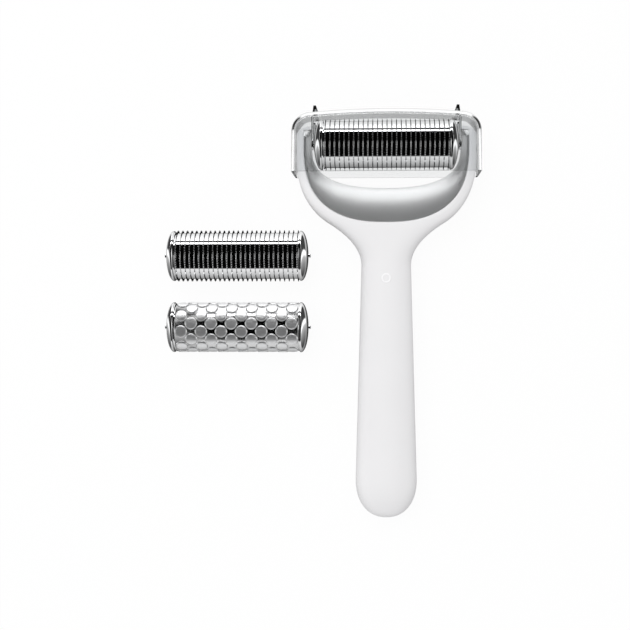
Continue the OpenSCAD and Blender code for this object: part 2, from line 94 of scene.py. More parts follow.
def round_drop(t: float, exponent: float) -> float:
    """Height of a superellipse of size 1 at distance t from its middle."""
    return max(0.0, 1 - min(1.0, t) ** exponent) ** (1 / exponent)


# ---------------------------------------------------------------- meshes


@dataclass
class Draft:
    """A mesh in the making, with its points in millimetres."""

    points: list[Point] = field(default_factory=list)
    faces: list[tuple[int, ...]] = field(default_factory=list)

    def row(self, points: list[Point]) -> list[int]:
        """Adds points.

        Args:
            points: the new points, in order.
        Returns:
            Their numbers in the mesh.
        """
        start = len(self.points)
        self.points += points
        return list(range(start, start + len(points)))

    def bridge(self, a: list[int], b: list[int], closed: bool = False) -> None:
        """Joins two rows of equal length with quads.

        Args:
            a: the first row.
            b: the second row.
            closed: whether the rows run round and meet themselves.
        """
        count = len(a)
        for i in range(count if closed else count - 1):
            j = (i + 1) % count
            self.faces.append((a[i], a[j], b[j], b[i]))

    def face(self, row: list[int]) -> None:
        """Closes a row with one face."""
        self.faces.append(tuple(row))

    def mirror_x(self) -> None:
        """Adds a copy of everything so far, mirrored left to right."""
        count = len(self.points)
        self.points += [(-x, y, z) for x, y, z in self.points[:count]]
        self.faces += [tuple(i + count for i in reversed(f)) for f in self.faces]

    def build(self, name: str, sharp_deg: float = 38, merge: float = 1e-4) -> bpy.types.Object:
        """Makes the object.

        Args:
            name: the new object's name.
            sharp_deg: edges that turn more than this stay sharp.
            merge: points closer than this, in millimetres, become one.
        Returns:
            The object, linked to the scene.
        """
        mesh = bpy.data.meshes.new(name)
        mesh.from_pydata([tuple(c * MM for c in p) for p in self.points], [], self.faces)
        work = bmesh.new()
        work.from_mesh(mesh)
        bmesh.ops.remove_doubles(work, verts=work.verts, dist=merge * MM)
        bmesh.ops.dissolve_degenerate(work, edges=work.edges, dist=merge * MM)
        bmesh.ops.recalc_face_normals(work, faces=work.faces)
        work.to_mesh(mesh)
        work.free()
        mesh.shade_smooth()
        mesh.set_sharp_from_angle(angle=math.radians(sharp_deg))
        piece = bpy.data.objects.new(name, mesh)
        bpy.context.scene.collection.objects.link(piece)
        return piece


def round_edges(piece: bpy.types.Object, width: float, segments: int = 2) -> None:
    """Rounds a piece's sharp edges.

    Args:
        piece: the object.
        width: the width of the round, in millimetres.
        segments: how many faces it has.
    """
    bevel = piece.modifiers.new("edge_round", "BEVEL")
    bevel.width = width * MM
    bevel.segments = segments
    bevel.limit_method = "ANGLE"
    bevel.angle_limit = math.radians(45)
    bevel.harden_normals = True


@dataclass(frozen=True)
class Turning:
    """Makes turned pieces about an axis through a centre."""

    centre: Vector
    axis: Axis = Axis.X
    segments: int = 128

    def place(self, along: float, radius: float, angle: float) -> Point:
        """Where a turned point lies, in millimetres.

        Args:
            along: the distance along the axis from the centre.
            radius: the distance from the axis.
            angle: the turn about the axis, in radians, from the front towards +Y or +X.
        Returns:
            The point.
        """
        s, c = radius * math.sin(angle), radius * math.cos(angle)
        x, y, z = self.centre
        if self.axis is Axis.X:
            return (x + along, y + s, z + c)
        return (x + s, y + c, z + along)

    def ring(self, draft: Draft, along: float, radius: float, span: Plan = (0, math.tau)) -> list[int]:
        """Adds one ring or arc of points.

        Args:
            draft: the mesh that takes them.
            along: the ring's place on the axis.
            radius: its radius.
            span: the first and last angle; a whole turn leaves out the last.
        Returns:
            The points' numbers.
        """
        whole = span[1] - span[0] >= math.tau - TINY
        count = self.segments if whole else self.segments // 2 + 1
        steps = self.segments if whole else count - 1
        angles = [mix(span[0], span[1], i / steps) for i in range(count)]
        return draft.row([self.place(along, radius, a) for a in angles])

    def lathe(self, draft: Draft, profile: list[Plan], hollow: bool = False) -> None:
        """Turns a profile of (along, radius) pairs.

        Args:
            draft: the mesh that takes the surface.
            profile: the pairs, from one end to the other.
            hollow: whether the profile is a loop, as for a ring; if not, its ends are closed.
        """
        rows = [self.ring(draft, along, radius) for along, radius in profile]
        for a, b in zip(rows, rows[1:]):
            draft.bridge(a, b, closed=True)
        if hollow:
            draft.bridge(rows[-1], rows[0], closed=True)
        else:
            draft.face(rows[0])
            draft.face(rows[-1])

    def half_ring(self, draft: Draft, profile: list[Plan], span: Plan) -> None:
        """Turns a closed profile through part of a turn and closes its ends.

        Args:
            draft: the mesh that takes the surface.
            profile: the loop of (along, radius) pairs.
            span: the first and last angle, in radians.
        """
        rows = [self.ring(draft, along, radius, span) for along, radius in profile]
        for a, b in zip(rows, rows[1:] + rows[:1]):
            draft.bridge(a, b)
        draft.face([r[0] for r in rows])
        draft.face([r[-1] for r in rows])


def rounded_band(start: float, end: float, low: float, high: float, edge: float) -> list[Plan]:
    """The profile of a band about an axis, with its two outer edges cut off.

    Args:
        start: where it starts along the axis.
        end: where it ends.
        low: its inner radius.
        high: its outer radius.
        edge: the size of the cut edges.
    Returns:
        The loop of (along, radius) pairs.
    """
    return [(start, low), (start, high - edge), (start + edge, high),
            (end - edge, high), (end, high - edge), (end, low)]


def node_centre(node: str) -> Vector:
    """The middle of a CAD node's box, in millimetres."""
    low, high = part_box(node)
    return (Vector(low) + Vector(high)) / 2 / MM


# ---------------------------------------------------------------- finishes


@dataclass(frozen=True)
class Wiring:
    """Adds, feeds and joins the shader nodes of one tree."""

    tree: bpy.types.NodeTree

    def add(self, kind: str) -> bpy.types.Node:
        """Adds a node of a kind, named without its ShaderNode."""
        return self.tree.nodes.new(f"ShaderNode{kind}")

    def feed(self, node: bpy.types.Node, values: dict[str | int, Value]) -> bpy.types.Node:
        """Links sockets to a node's inputs, or writes plain values on them.

        Args:
            node: the node.
            values: a socket or a plain value for each input.
        Returns:
            The same node.
        """
        for name, value in values.items():
            if isinstance(value, bpy.types.NodeSocket):
                self.tree.links.new(value, node.inputs[name])
            else:
                node.inputs[name].default_value = value
        return node

    def sum(self, operation: str, *terms: Value) -> bpy.types.NodeSocket:
        """Works out one sum.

        Args:
            operation: what is done.
            terms: the sockets and numbers that it is done with.
        Returns:
            The socket with the result.
        """
        node = self.add("Math")
        node.operation = operation
        return self.feed(node, dict(enumerate(terms))).outputs[0]

    def spread(self, value: Value, start: Plan, end: Plan = (0.0, 1.0)) -> bpy.types.NodeSocket:
        """Moves a value from one range to another.

        Args:
            value: the value.
            start: the range that it is taken from.
            end: the range that it is put in.
        Returns:
            The socket with the moved value.
        """
        ranges = {"From Min": start[0], "From Max": start[1], "To Min": end[0], "To Max": end[1]}
        return self.feed(self.add("MapRange"), {"Value": value, **ranges}).outputs["Result"]

    def mix(self, share: Value, first: Value, second: Value) -> bpy.types.NodeSocket:
        """Mixes two colours.

        Args:
            share: how much of the second is taken.
            first: a colour.
            second: a colour.
        Returns:
            The socket with the mixed colour.
        """
        node = self.add("Mix")
        node.data_type = "RGBA"
        return self.feed(node, {0: share, 6: first, 7: second}).outputs[2]

    def blend(self, share: Value, first: bpy.types.Node, second: bpy.types.Node) -> bpy.types.NodeSocket:
        """Mixes two shaders.

        Args:
            share: how much of the second is taken.
            first: a shader.
            second: a shader.
        Returns:
            The socket with the mixed shader.
        """
        values = {"Fac": share, 1: first.outputs[0], 2: second.outputs[0]}
        return self.feed(self.add("MixShader"), values).outputs[0]


class ShaderGroups:
    """Node groups that several finishes share, each made once."""

    GRAIN = "surface_grain"
    GRAIN_INPUTS = {"Scale": 2500.0, "Stretch": 1.0, "Clouds": 60.0}
    FINE_DETAIL = 3.0
    SLOW_DETAIL = 4.0

    @staticmethod
    def grain() -> bpy.types.NodeTree:
        """Makes or finds the grain group: a fine grain, slow clouds and a height, all over the surface.

        Returns:
            The node group, with inputs Scale, Stretch and Clouds, and outputs Grain, Cloud and Height.
        """
        found = bpy.data.node_groups.get(ShaderGroups.GRAIN)
        if found:
            return found
        tree = bpy.data.node_groups.new(ShaderGroups.GRAIN, "ShaderNodeTree")
        for name, default in ShaderGroups.GRAIN_INPUTS.items():
            socket = tree.interface.new_socket(name, in_out="INPUT", socket_type="NodeSocketFloat")
            socket.default_value = default
        for name in ("Grain", "Cloud", "Height"):
            tree.interface.new_socket(name, in_out="OUTPUT", socket_type="NodeSocketFloat")
        wiring = Wiring(tree)
        entry, leave = tree.nodes.new("NodeGroupInput"), tree.nodes.new("NodeGroupOutput")
        place = wiring.add("TexCoord").outputs["Object"]
        squeeze = wiring.feed(wiring.add("CombineXYZ"), {"X": entry.outputs["Stretch"], "Y": 1.0, "Z": 1.0})
        stretch = wiring.add("VectorMath")
        stretch.operation = "MULTIPLY"
        wiring.feed(stretch, {0: place, 1: squeeze.outputs[0]})
        fine = wiring.feed(wiring.add("TexNoise"), {
            "Vector": stretch.outputs[0], "Scale": entry.outputs["Scale"], "Detail": ShaderGroups.FINE_DETAIL})
        slow = wiring.feed(wiring.add("TexNoise"), {
            "Vector": place, "Scale": entry.outputs["Clouds"], "Detail": ShaderGroups.SLOW_DETAIL})
        grain, cloud = fine.outputs["Fac"], slow.outputs["Fac"]
        wiring.feed(leave, {"Grain": grain, "Cloud": cloud, "Height": grain})
        return tree


@dataclass(frozen=True)
class Finish:
    """One surface finish: two close tones, a band of roughness and a fine grain."""

    name: str
    slot: str
    tone: Point
    rough: Plan
    tone_shift: float = 0.02
    metallic: float = 1.0
    grain_scale: float = 1800.0
    grain_stretch: float = 1.0
    cloud_scale: float = 90.0
    bump_mm: float = 0.0001
    grain_range: Plan = (0.3, 0.7)

    def material(self) -> bpy.types.Material:
        """Makes or finds the material.

        Returns:
            The material, whose colour, roughness and bump vary over the surface.
        """
        found = bpy.data.materials.get(self.name)
        if found:
            return found
        material = bpy.data.materials.new(self.name)
        material.use_nodes = True
        wiring = Wiring(material.node_tree)
        grain = wiring.add("Group")
        grain.node_tree = ShaderGroups.grain()
        wiring.feed(grain, {"Scale": self.grain_scale, "Stretch": self.grain_stretch, "Clouds": self.cloud_scale})
        low = tuple(max(0.0, c - self.tone_shift) for c in self.tone)
        high = tuple(min(1.0, c + self.tone_shift) for c in self.tone)
        bump = wiring.feed(wiring.add("Bump"), {
            "Height": grain.outputs["Height"], "Distance": self.bump_mm * MM, "Strength": 1.0})
        wiring.feed(material.node_tree.nodes["Principled BSDF"], {
            "Base Color": wiring.mix(grain.outputs["Cloud"], (*low, 1), (*high, 1)),
            "Metallic": self.metallic,
            "Roughness": wiring.spread(grain.outputs["Grain"], self.grain_range, self.rough),
            "Normal": bump.outputs["Normal"],
        })
        return material


@dataclass(frozen=True)
class ClearFinish:
    """Clear moulded plastic, polished, with faint moulding clouds in its gloss."""

    name: str = "clear_plastic"
    slot: str = "cap_clear"
    tint: Point = (0.985, 0.99, 0.992)
    index: float = 1.47
    rough: Plan = (0.0, 0.02)
    depth_tint: Point = (0.25, 0.27, 0.28)
    depth_density: float = 110.0
    shadow_tint: Point = (0.93, 0.94, 0.945)

    def material(self) -> bpy.types.Material:
        """Makes or finds the material.

        Returns:
            A clear material whose shadow lets light through.
        """
        found = bpy.data.materials.get(self.name)
        if found:
            return found
        material = bpy.data.materials.new(self.name)
        material.use_nodes = True
        wiring = Wiring(material.node_tree)
        shader, out = (material.node_tree.nodes[name] for name in ("Principled BSDF", "Material Output"))
        grain = wiring.add("Group")
        grain.node_tree = ShaderGroups.grain()
        wiring.feed(shader, {
            "Base Color": (*self.tint, 1), "Transmission Weight": 1.0, "IOR": self.index,
            "Roughness": wiring.spread(grain.outputs["Cloud"], (0.0, 1.0), self.rough)})
        depth = wiring.feed(wiring.add("VolumeAbsorption"), {
            "Color": (*self.depth_tint, 1), "Density": self.depth_density})
        see_through = wiring.feed(wiring.add("BsdfTransparent"), {"Color": (*self.shadow_tint, 1)})
        path = wiring.add("LightPath").outputs
        either = wiring.sum("MAXIMUM", path["Is Shadow Ray"], path["Is Diffuse Ray"])
        wiring.feed(out, {"Surface": wiring.blend(either, shader, see_through), "Volume": depth.outputs[0]})
        return material


SATIN_WHITE = Finish("satin_white", "handle_white", (0.83, 0.825, 0.83), (0.34, 0.46), tone_shift=0.012,
                     metallic=0.0, grain_scale=3200, cloud_scale=55, bump_mm=0.0015)
# The plug rim's white is the handle's white made lighter: a painted highlight on the raised ring.
PLUG_RIM_PAINTED_HIGHLIGHT = Finish("plug_rim_painted_highlight", "handle_white", (0.95, 0.945, 0.95), (0.3, 0.4), tone_shift=0.01,
                   metallic=0.0, grain_scale=3200, cloud_scale=55, bump_mm=0.001)
# The plug dish's white is the handle's white made darker: painted shade in the recess.
PLUG_DISH_PAINTED_SHADE = Finish("plug_dish_painted_shade", "handle_white", (0.66, 0.655, 0.66), (0.4, 0.5), tone_shift=0.012,
                    metallic=0.0, grain_scale=3200, cloud_scale=55, bump_mm=0.0015)
SATIN_CHROME = Finish("satin_chrome", "liner_chrome", (0.82, 0.83, 0.835), (0.46, 0.52), metallic=0.85,
                      grain_scale=2600, grain_stretch=0.35, cloud_scale=70)
MIRROR_CHROME = Finish("mirror_chrome", "drum_chrome", (0.86, 0.865, 0.87), (0.03, 0.09))
DRUM_CHROME = Finish("plated_drum_chrome", "drum_chrome", (0.86, 0.865, 0.87), (0.18, 0.24))
STUD_CHROME = Finish("stud_chrome", "drum_chrome", (0.9, 0.905, 0.91), (0.34, 0.4), metallic=0.85)
NEEDLE_STEEL = Finish("stamped_needle_steel", "needle_steel", (0.4, 0.403, 0.41), (0.12, 0.2), tone_shift=0.03,
                      grain_scale=4200, grain_stretch=0.3, cloud_scale=120, bump_mm=0.0004)
BUSH_STEEL = Finish("turned_bush_steel", "bush_steel", (0.78, 0.785, 0.8), (0.16, 0.3), tone_shift=0.03,
                    grain_scale=5200, grain_stretch=0.2, cloud_scale=120, bump_mm=0.0005)
CORE_PLASTIC = Finish("moulded_core_plastic", "core_plastic", (0.035, 0.035, 0.04), (0.45, 0.6), tone_shift=0.008,
                      metallic=0.0, grain_scale=3000, cloud_scale=80, bump_mm=0.001)
CLEAR_PLASTIC = ClearFinish()


def dress(piece: bpy.types.Object, finish: Finish | ClearFinish) -> None:
    """Gives a piece its finish in every material slot.

    Args:
        piece: the object.
        finish: its finish.
    """
    material = finish.material()
    slots = piece.data.materials
    if not slots:
        slots.append(material)
    for i in range(len(slots)):
        slots[i] = material


def stand_for(piece: bpy.types.Object, finish: Finish | ClearFinish, body: str, *nodes: str) -> None:
    """Finishes a new piece and lets it take the place of CAD nodes.

    Args:
        piece: the new piece.
        finish: its finish.
        body: the body that it rides on.
        nodes: the CAD nodes that it stands for.
    """
    add_to(piece, finish, body)
    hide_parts(*nodes)
    LOG.info("%s stands for %s", piece.name, ", ".join(nodes))


def add_to(piece: bpy.types.Object, finish: Finish | ClearFinish, body: str) -> None:
    """Finishes a new piece that completes a body.

    Args:
        piece: the new piece.
        finish: its finish.
        body: the body that it rides on.
    """
    dress(piece, finish)
    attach(piece, body)
    piece.visible_glossy = False
    LOG.info("%s rides on %s", piece.name, body)


def dress_node(node: str, finish: Finish) -> None:
    """Gives a CAD node that stays its finish.

    Args:
        node: its name.
        finish: its finish.
    """
    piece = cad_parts[node]
    dress(piece, finish)
    piece.visible_glossy = False
    LOG.info("%s keeps its own mesh in %s", node, finish.name)


# ---------------------------------------------------------------- handle


@dataclass(frozen=True)
class HandleForm:
    """Sizes of the forked handle, in millimetres, and the sums that give its skin."""

    axis_z: float = 14.0
    reach: float = 143.6
    neck_drop: float = 46.4
    neck_half_w: float = 9.5
    neck_half_t: float = 8.2
    grip_half_w: float = 11.8
    grip_half_t: float = 9.9
    grip_end: float = 14.6
    fork_half_w: float = 34.5
    fork_drop: float = 33.0
    seam_half_w: float = 31.2
    seam_drop: float = 28.2
    seam_round: float = 1.3
    seam_sink: float = 0.8
    seam_turn: float = 0.96
    flare_share: float = 0.84
    bend_share: float = 0.7
    gap_half_w: float = 28.3
    gap_drop: float = 14.7
    fork_y: float = -2.0
    arm_half_t: float = 7.4
    bridge_half_t: float = 9.2
    arm_rise: float = 6.7
    liner_rise: float = 5.1
    tip_length: float = 4.4
    tip_blunt: float = 0.25
    tip_share: float = 0.35
    flare_slope: float = 1.65
    fork_curve: float = 2.5
    end_curve: float = 2.2
    tip_curve: float = 2.4
    grip_section: float = 2.3
    fork_section: float = 5.0

    @property
    def neck_y(self) -> float:
        """Height of the narrowest part of the neck."""
        return -self.neck_drop

    @property
    def grip_y(self) -> float:
        """Height where the round lower end starts."""
        return -self.reach + self.grip_end

    @property
    def flare_y(self) -> float:
        """Height where the fork's outer curve turns into the flare."""
        return self.fork_y - self.flare_share * self.fork_drop

    @property
    def bend_y(self) -> float:
        """Height where the bridge is thickest."""
        return self.fork_y - self.bend_share * self.fork_drop

    @property
    def tip_y(self) -> float:
        """Height where the arm's round tip starts."""
        return self.arm_rise - self.tip_length

    def fork_x(self, y: float, half_w: float, drop: float) -> float:
        """Half width of one of the fork's curves.

        Args:
            y: the height.
            half_w: the curve's half width.
            drop: how far it drops below the fork's centre.
        Returns:
            Its half width at that height.
        """
        return half_w if y >= self.fork_y else half_w * round_drop((self.fork_y - y) / drop, self.fork_curve)

    def flare_x(self, y: float) -> float:
        """Half width in the concave flare, a cubic with its two end slopes.

        Args:
            y: the height.
        Returns:
            The half width.
        """
        span = self.flare_y - self.neck_y
        t = (self.flare_y - y) / span
        start = self.fork_x(self.flare_y, self.fork_half_w, self.fork_drop)
        lean = (t**3 - 2 * t * t + t) * self.flare_slope * span
        return (2 * t**3 - 3 * t * t + 1) * start - lean + (3 * t * t - 2 * t**3) * self.neck_half_w

    def end_factor(self, y: float) -> float:
        """How far the round lower end has closed, 1 above it."""
        return 1.0 if y > self.grip_y else round_drop((self.grip_y - y) / self.grip_end, self.end_curve)

    def tip_factor(self, y: float) -> float:
        """How far an arm's tip has closed, 1 below it."""
        return 1.0 if y < self.tip_y else round_drop((y - self.tip_y) / self.tip_length, self.tip_curve)

    def grip_share(self, y: float) -> float:
        """0 at the neck and 1 where the grip is widest."""
        return max(0.0, min(1.0, (self.neck_y - y) / (self.neck_y - self.grip_y)))

    def half_w(self, y: float) -> float:
        """Half width of the handle at a height.

        Args:
            y: the height.
        Returns:
            The half width.
        """
        if y <= self.neck_y:
            return mix(self.neck_half_w, self.grip_half_w, self.grip_share(y)) * self.end_factor(y)
        if y <= self.flare_y:
            return self.flare_x(y)
        if y <= self.tip_y:
            return self.fork_x(y, self.fork_half_w, self.fork_drop)
        return mix(self.gap_half_w + self.tip_blunt, self.fork_half_w, self.tip_factor(y))

    def half_t(self, y: float) -> float:
        """Half depth of the handle at a height.

        Args:
            y: the height.
        Returns:
            The half depth.
        """
        if y <= self.neck_y:
            return mix(self.neck_half_t, self.grip_half_t, self.grip_share(y)) * self.end_factor(y)
        if y <= self.bend_y:
            rise = smooth((y - self.neck_y) / (self.bend_y - self.neck_y))
            return mix(self.neck_half_t, self.bridge_half_t, rise)
        fall = smooth((y - self.bend_y) / (self.fork_y - self.bend_y))
        return mix(self.bridge_half_t, self.arm_half_t, fall) * mix(self.tip_share, 1, self.tip_factor(y))

    def section(self, y: float) -> float:
        """Exponent of the section at a height."""
        return mix(self.grip_section, self.fork_section, smooth((y - self.neck_y) / (self.bend_y - self.neck_y)))

    def centre_z(self, y: float) -> float:
        """Height above the table of the parting plane."""
        return mix(self.axis_z, self.grip_half_t, smooth((self.bend_y - y) / (self.bend_y - self.grip_y)))

    def skin_h(self, x: float, y: float) -> float:
        """Height of the skin above the parting plane."""
        return self.half_t(y) * round_drop(abs(x) / self.half_w(y), self.section(y))

    def seam_gap(self, x: float, y: float) -> float:
        """About how far a point of the skin lies outside the seam with the liner.

        Args:
            x: its distance from the middle.
            y: its height.
        Returns:
            The distance, below 0 inside the seam.
        """
        e = self.fork_curve
        across = abs(x) / self.seam_half_w
        down = max(0.0, self.fork_y - y) / self.seam_drop
        reach = (across**e + down**e) ** (1 / e)
        if reach < TINY:
            return -self.seam_half_w
        slope_x = (across / reach) ** (e - 1) / self.seam_half_w
        slope_y = (down / reach) ** (e - 1) / self.seam_drop
        return (reach - 1) / math.hypot(slope_x, slope_y)

    def seam_dip(self, x: float, y: float) -> float:
        """How far the skin rolls down towards the liner at a point."""
        t = 1 - max(0.0, min(1.0, self.seam_gap(x, y) / self.seam_round))
        return self.seam_sink * (1 - math.sqrt(1 - self.seam_turn * t * t))

    def curve_point(self, half_w: float, drop: float, angle: float) -> Plan:
        """A point of one of the fork's curves.

        Args:
            half_w: the curve's half width.
            drop: its drop below the fork's centre.
            angle: 0 at the right arm, 90 at the bottom, 180 at the left arm.
        Returns:
            The point in plan.
        """
        e = 2 / self.fork_curve
        c, s = math.cos(math.radians(angle)), math.sin(math.radians(angle))
        return half_w * power(c, e), self.fork_y - drop * power(s, e)


@dataclass
class Handle:
    """The forked handle: two white shells, the metal liner, the bushes and the neck plug."""

    form: HandleForm = field(default_factory=HandleForm)
    body: str = "handle"
    skin_steps: int = 28
    ledge_steps: int = 6
    end_rows: int = 14
    stem_rows: int = 54
    seam_rows: int = 8
    seam_steps: int = 7
    fork_rows: int = 44
    arm_rows: int = 6
    tip_rows: int = 12
    liner_stations: int = 120
    liner_steps: int = 28
    liner_section: float = 2.0
    liner_sink: float = 0.2
    liner_end: float = 3.0
    liner_end_share: float = 0.6
    seam_edge: float = 0.22
    roll_share: float = 1.6
    roll_from: float = 0.5
    roll_least: float = 0.001
    roll_above: float = 1.2
    roll_limit: float = 0.98
    skin_left: float = 0.3
    first_turn: float = 2.0
    liner_inset: float = 0.4
    liner_edge: float = 0.3
    arm_stations: int = 12
    plug_rim: float = 0.5
    plug_dish: float = 0.3
    plug_round: float = 0.06
    plug_slope: float = 0.08
    plug_gap: float = 0.02
    plug_boss: Plan = (0.4, 0.05)
    plug_crown: float = 0.01
    plug_lip: float = 0.04

    def skin_row(self, y: float, inner: float, side: Side, steps: int, outer: float = 0.0) -> list[Point]:
        """Points of the skin at one height, from an outer to an inner distance.

        Args:
            y: the height.
            inner: the distance from the middle where the row ends.
            side: front or back.
            steps: the number of steps.
            outer: the distance where it starts; 0 means the handle's own edge.
        Returns:
            The points.
        """
        f = self.form
        w, t, e = f.half_w(y), f.half_t(y), 2 / f.section(y)
        if w < TINY:
            return [(0.0, y, f.centre_z(y))] * (steps + 1)
        first = math.acos(min(1.0, (outer / w) ** (1 / e))) if outer else 0.0
        last = math.acos(min(1.0, (inner / w) ** (1 / e)))
        angles = [mix(first, last, i / steps) for i in range(steps + 1)]
        points = []
        for a in angles:
            x, h = w * power(math.cos(a), e), t * power(math.sin(a), e)
            dip = f.seam_dip(x, y) if y > f.neck_y and x >= inner - TINY else 0.0
            points.append((x, y, f.centre_z(y) + side.value * max(self.skin_left * h, h - dip)))
        return points

    def lower_rows(self) -> list[Plan]:
        """Heights and inner distances of the rows from the grip's end up to the liner's top.

        Returns:
            The pairs, from the lowest up.
        """
        f = self.form
        bottom = f.fork_y - f.seam_drop
        ends = [math.radians(mix(self.first_turn, 90, i / self.end_rows)) for i in range(self.end_rows)]
        rows = [(f.grip_y - f.grip_end * math.cos(a), 0.0) for a in ends]
        near = bottom - f.seam_round * self.roll_above
        rows += [(mix(f.grip_y, near, i / self.stem_rows), 0.0) for i in range(self.stem_rows)]
        rows += [(mix(near, bottom, i / self.seam_rows), 0.0) for i in range(self.seam_rows)]
        for i in range(self.fork_rows + 1):
            x, y = f.curve_point(f.seam_half_w, f.seam_drop, 90 - 90 * i / self.fork_rows)
            rows.append((y, x))
        rise = f.liner_rise - f.fork_y
        rows += [(f.fork_y + rise * i / self.arm_rows, f.seam_half_w) for i in range(1, self.arm_rows + 1)]
        return rows

    def shell(self, side: Side) -> bpy.types.Object:
        """Builds one half of the handle.

        Args:
            side: front or back.
        Returns:
            The closed half shell.
        """
        f = self.form
        draft = Draft()
        skins, seats = [], []
        for y, inner in self.lower_rows():
            roll = inner + self.roll_least
            if inner > self.roll_from:
                roll = min(f.half_w(y) * self.roll_limit, inner + f.seam_round * self.roll_share)
            outer = self.skin_row(y, roll, side, self.skin_steps)
            skins.append(draft.row(outer + self.skin_row(y, inner, side, self.seam_steps, roll)[1:]))
            seats.append(draft.row([(inner, y, f.centre_z(y))])[0])
        draft.face(skins[0] + [seats[0]])
        for i in range(len(skins) - 1):
            draft.bridge(skins[i], skins[i + 1])
            draft.face([skins[i][0], skins[i + 1][0], seats[i + 1], seats[i]])
            if i >= self.end_rows + self.stem_rows + self.seam_rows:
                draft.face([skins[i][-1], skins[i + 1][-1], seats[i + 1], seats[i]])
        tips, tip_seats = [], []
        for i in range(self.tip_rows + 1):
            y = mix(f.liner_rise, f.arm_rise, math.sin(math.radians(90 * i / self.tip_rows)))
            split = min(f.seam_half_w, mix(f.gap_half_w, f.half_w(y), 0.5))
            outer = self.skin_row(y, split, side, self.skin_steps)
            inner = self.skin_row(y, f.gap_half_w, side, self.ledge_steps, split)
            tips.append(draft.row(outer + inner[1:]))
            tip_seats.append(draft.row([(f.gap_half_w, y, f.centre_z(y))])[0])
        for i in range(self.tip_rows):
            draft.bridge(tips[i], tips[i + 1])
            draft.face([tips[i][0], tips[i + 1][0], tip_seats[i + 1], tip_seats[i]])
            draft.face([tips[i][-1], tips[i + 1][-1], tip_seats[i + 1], tip_seats[i]])
        draft.face(tips[0][self.skin_steps:] + [tip_seats[0], seats[-1], skins[-1][-1]])
        draft.face(tips[-1] + [tip_seats[-1]])
        draft.mirror_x()
        piece = draft.build("front_shell" if side is Side.FRONT else "back_shell", merge=1e-3)
        round_edges(piece, self.seam_edge)
        return piece

    def liner_ring(self, outer: Plan, inner: Plan, share: float) -> list[Point]:
        """One station of the liner, a half round from the front seam over the inner edge to the back.

        Args:
            outer: the station's point on the seam.
            inner: its point on the opening's edge.
            share: how much of the full depth it has.
        Returns:
            The points.
        """
        f = self.form
        edge = min(abs(outer[0]), f.half_w(outer[1]) - self.liner_inset)
        h = (f.skin_h(edge, outer[1]) - self.liner_sink) * share
        e = 2 / self.liner_section
        ring = []
        for i in range(self.liner_steps + 1):
            a = math.pi * i / self.liner_steps
            reach = power(math.sin(a), e)
            x, y = mix(outer[0], inner[0], reach), mix(outer[1], inner[1], reach)
            ring.append((x, y, f.centre_z(outer[1]) + h * power(math.cos(a), e)))
        return ring

    def liner(self) -> bpy.types.Object:
        """Builds the satin metal liner of the fork.

        Returns:
            The liner.
        """
        f = self.form
        stations: list[tuple[Plan, Plan, float]] = []
        rise = f.liner_rise - f.fork_y
        for i in range(self.liner_stations + 1):
            a = 180 * i / self.liner_stations
            seam = f.curve_point(f.seam_half_w, f.seam_drop, a)
            gap = f.curve_point(f.gap_half_w, f.gap_drop, a)
            stations.append((seam, gap, 1.0))
        arm = []
        for i in range(1, self.arm_stations + 1):
            up = rise * i / self.arm_stations
            left = (rise - up) / self.liner_end
            share = mix(self.liner_end_share, 1, math.sqrt(smooth(left)))
            arm.append(((f.seam_half_w, f.fork_y + up), (f.gap_half_w, f.fork_y + up), share))
        left_arm = [((-s[0], s[1]), (-g[0], g[1]), share) for s, g, share in arm]
        stations = arm[::-1] + stations + left_arm
        draft = Draft()
        rows = [draft.row(self.liner_ring(*station)) for station in stations]
        for a, b in zip(rows, rows[1:]):
            draft.bridge(a, b, closed=True)
        draft.face(rows[0])
        draft.face(rows[-1])
        piece = draft.build("satin_liner")
        round_edges(piece, self.liner_edge, 3)
        return piece

    def plug(self) -> list[bpy.types.Object]:
        """Builds the small neck plug: its raised rim and the sunk dish inside it.

        Returns:
            The rim and the dish.
        """
        low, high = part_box("neck_plug")
        centre = Vector(((low[0] + high[0]) / 2, (low[1] + high[1]) / 2, low[2])) / MM
        top = (high[2] - low[2]) / MM
        r = (high[0] - low[0]) / 2 / MM
        soft, inner = self.plug_round, r - self.plug_rim
        wall, bottom = inner - self.plug_slope, top - self.plug_dish
        edge = wall - self.plug_gap
        boss_r, boss_h = self.plug_boss
        rim = [(0, r - self.plug_crown), (top - 2 * soft, r), (top - soft / 2, r - soft), (top, r - self.plug_rim / 2),
               (top - self.plug_lip, inner), (bottom, wall), (0, wall)]
        dish = [(0, self.plug_gap), (0, edge), (bottom, edge), (bottom + boss_h, boss_r),
                (bottom + boss_h + self.plug_crown, self.plug_gap)]
        pieces = []
        for name, line in (("neck_plug_rim", rim), ("neck_plug_dish", dish)):
            draft = Draft()
            Turning(centre, Axis.Z, 64).lathe(draft, line)
            pieces.append(draft.build(name))
        return pieces

    def make(self) -> None:
        """Builds, finishes and seats every piece of the handle."""
        stand_for(self.shell(Side.FRONT), SATIN_WHITE, self.body, "handle_front_shell")
        stand_for(self.shell(Side.BACK), SATIN_WHITE, self.body, "handle_back_shell")
        stand_for(self.liner(), SATIN_CHROME, self.body, "fork_liner")
        rim, dish = self.plug()
        # The rim takes a lighter white than the shells, a painted highlight on the raised ring.
        stand_for(rim, PLUG_RIM_PAINTED_HIGHLIGHT, self.body, "neck_plug")
        # The dish takes a darker white than the shells, painted shade in the sunk centre.
        add_to(dish, PLUG_DISH_PAINTED_SHADE, self.body)
        for node in ("left_pin_bush", "right_pin_bush", "neck_screw"):
            dress_node(node, BUSH_STEEL)


# ---------------------------------------------------------------- heads


